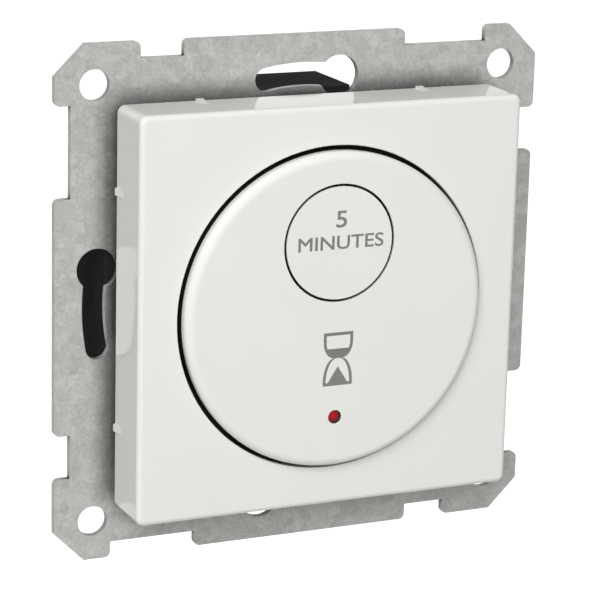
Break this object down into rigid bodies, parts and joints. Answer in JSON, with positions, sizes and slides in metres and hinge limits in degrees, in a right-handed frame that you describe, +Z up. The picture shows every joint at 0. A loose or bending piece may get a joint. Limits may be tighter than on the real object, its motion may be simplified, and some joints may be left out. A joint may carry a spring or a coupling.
{
  "type": "timer light switch",
  "caption": "Flush-mounted timer light switch: notched steel plate with a black housing behind it, and a square white cover whose round disc holds a push button and a red lamp.",
  "frame": {"origin": "centre of the support plate's rear face, which lies on the wall", "axes": "+X to the right seen from the front, +Y into the wall, +Z up"},
  "size_m": [0.071, 0.0394, 0.071],
  "materials": {
    "galvanised_steel": "spangled zinc, satin",
    "white_plastic": "glossy polar white",
    "black_plastic": "fine satin moulding",
    "carrier_plastic": "satin moulding",
    "red_lens": "clear red, glossy",
    "board_laminate": "green solder resist",
    "component_black": "satin",
    "key_grey": "satin",
    "led_body": "clear resin on a white body",
    "bright_metal": "bright tinned",
    "soft_iron": "nickel plated",
    "bobbin_nylon": "natural nylon",
    "copper_wire": "enamelled",
    "contact_bronze": "rolled bronze",
    "relay_case": "moulded",
    "film_yellow": "boxed film capacitor",
    "can_sleeve": "shrunk sleeve",
    "varistor_blue": "dipped epoxy",
    "resistor_grey": "flameproof lacquer",
    "terminal_brass": "plain brass",
    "clamp_steel": "zinc plated",
    "spring_steel": "drawn wire"
  },
  "bodies": {
    "insert": {"support_plate": "galvanised_steel", "housing_base": "black_plastic", "front_carrier": "carrier_plastic", "centre_plate": "white_plastic", "disc_ring": "black_plastic", "face_disc": "white_plastic", "button_spring": "spring_steel", "light_guide": "red_lens", "control_board": "board_laminate", "switch_body": "component_black", "status_led": "led_body", "controller_chip": "component_black", "crystal_can": "bright_metal", "header_strip": "component_black", "header_pins": "bright_metal", "power_board": "board_laminate", "relay_base": "component_black", "relay_yoke": "soft_iron", "relay_bobbin": "bobbin_nylon", "relay_winding": "copper_wire", "relay_fixed_contact": "contact_bronze", "relay_cover": "relay_case", "film_capacitor": "film_yellow", "smoothing_capacitor": "can_sleeve", "varistor": "varistor_blue", "fusible_resistor": "resistor_grey", "bridge_rectifier": "component_black", "terminal_bars": "terminal_brass"},
    "button": {"push_button": "white_plastic"},
    "key_plunger": {"switch_plunger": "key_grey"},
    "armature": {"relay_armature": "soft_iron", "relay_contact_spring": "contact_bronze"},
    "screw_1": {"terminal_screw_1": "clamp_steel"},
    "cage_1": {"terminal_cage_1": "clamp_steel"},
    "screw_2": {"terminal_screw_2": "clamp_steel"},
    "cage_2": {"terminal_cage_2": "clamp_steel"},
    "screw_3": {"terminal_screw_3": "clamp_steel"},
    "cage_3": {"terminal_cage_3": "clamp_steel"}
  },
  "joints": [
    {"name": "button_press", "type": "slide", "parent": "insert", "child": "button", "axis": [0, 1, 0], "range_m": [0, 0.0008], "stiffness_N_per_m": 800, "springref_m": -0.002, "deforming": ["button_spring"]},
    {"name": "key_plunge", "type": "slide", "parent": "insert", "child": "key_plunger", "axis": [0, 1, 0], "range_m": [0, 0.0008]},
    {"name": "relay_swing", "type": "hinge", "parent": "insert", "child": "armature", "pos_m": [-0.0104, 0.0166, 0.0126], "axis": [0, 0, -1], "range_deg": [0, 4], "stiffness_Nm_per_rad": 0.02, "springref_deg": -5.73},
    {"name": "terminal_turn_1", "type": "hinge", "parent": "insert", "child": "screw_1", "pos_m": [-0.009, 0.02, -0.0179], "axis": [0, -1, 0], "range_deg": [0, 2160]},
    {"name": "clamp_rise_1", "type": "slide", "parent": "insert", "child": "cage_1", "axis": [0, 1, 0], "range_m": [0, 0.003]},
    {"name": "terminal_turn_2", "type": "hinge", "parent": "insert", "child": "screw_2", "pos_m": [0, 0.02, -0.0179], "axis": [0, -1, 0], "range_deg": [0, 2160]},
    {"name": "clamp_rise_2", "type": "slide", "parent": "insert", "child": "cage_2", "axis": [0, 1, 0], "range_m": [0, 0.003]},
    {"name": "terminal_turn_3", "type": "hinge", "parent": "insert", "child": "screw_3", "pos_m": [0.009, 0.02, -0.0179], "axis": [0, -1, 0], "range_deg": [0, 2160]},
    {"name": "clamp_rise_3", "type": "slide", "parent": "insert", "child": "cage_3", "axis": [0, 1, 0], "range_m": [0, 0.003]}
  ],
  "couplings": [
    {"joint": "key_plunge", "follows": "button_press", "ratio": 1},
    {"joint": "terminal_turn_1", "follows": "clamp_rise_1", "rad_per_m": 12566},
    {"joint": "terminal_turn_2", "follows": "clamp_rise_2", "rad_per_m": 12566},
    {"joint": "terminal_turn_3", "follows": "clamp_rise_3", "rad_per_m": 12566}
  ]
}
